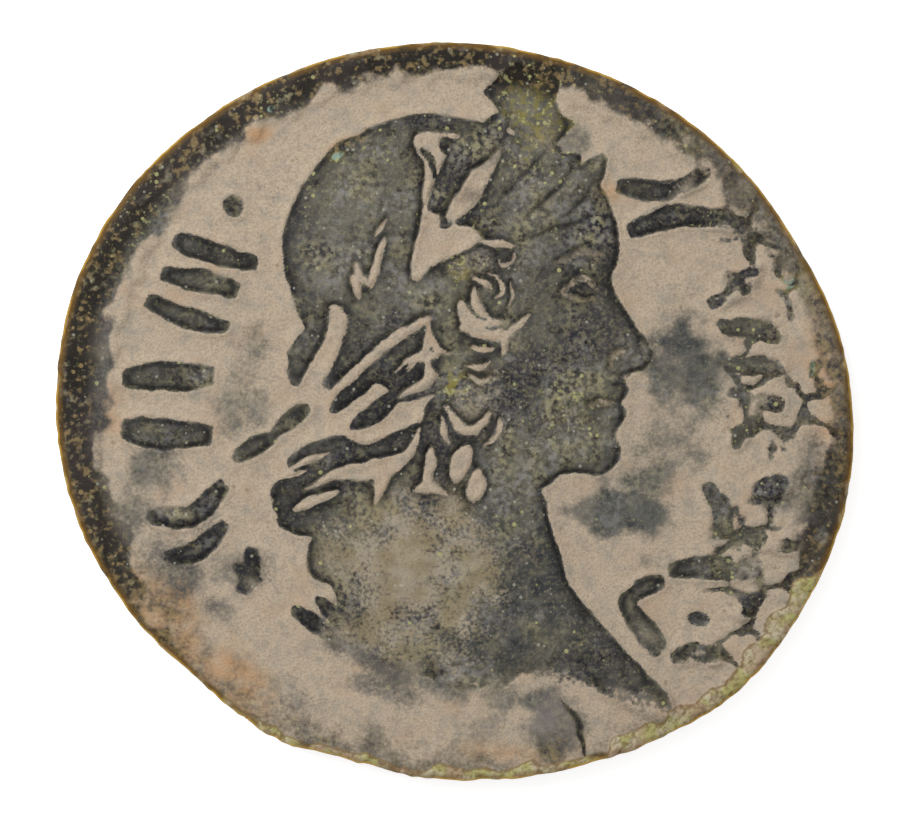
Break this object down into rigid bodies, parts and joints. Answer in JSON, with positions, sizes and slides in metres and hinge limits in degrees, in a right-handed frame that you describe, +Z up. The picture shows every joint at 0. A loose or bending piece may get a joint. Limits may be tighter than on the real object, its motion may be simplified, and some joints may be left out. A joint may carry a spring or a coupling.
{
  "type": "shilling coin",
  "caption": "Small uneven oval copper coin with a laurelled head in profile, a ragged border, worn strokes around the edge and earth packed in its hollows.",
  "frame": {"origin": "under the middle of the coin, on the plane that it lies on", "axes": "+Z up out of the portrait side, +Y to the top of the head, +X to the right, the way the head looks"},
  "size_m": [0.016, 0.015, 0.001],
  "materials": {
    "patinated_copper": "dull dark green-black copper patina with tan earth in the hollows"
  },
  "bodies": {
    "root": {"coin": "patinated_copper"}
  },
  "joints": []
}
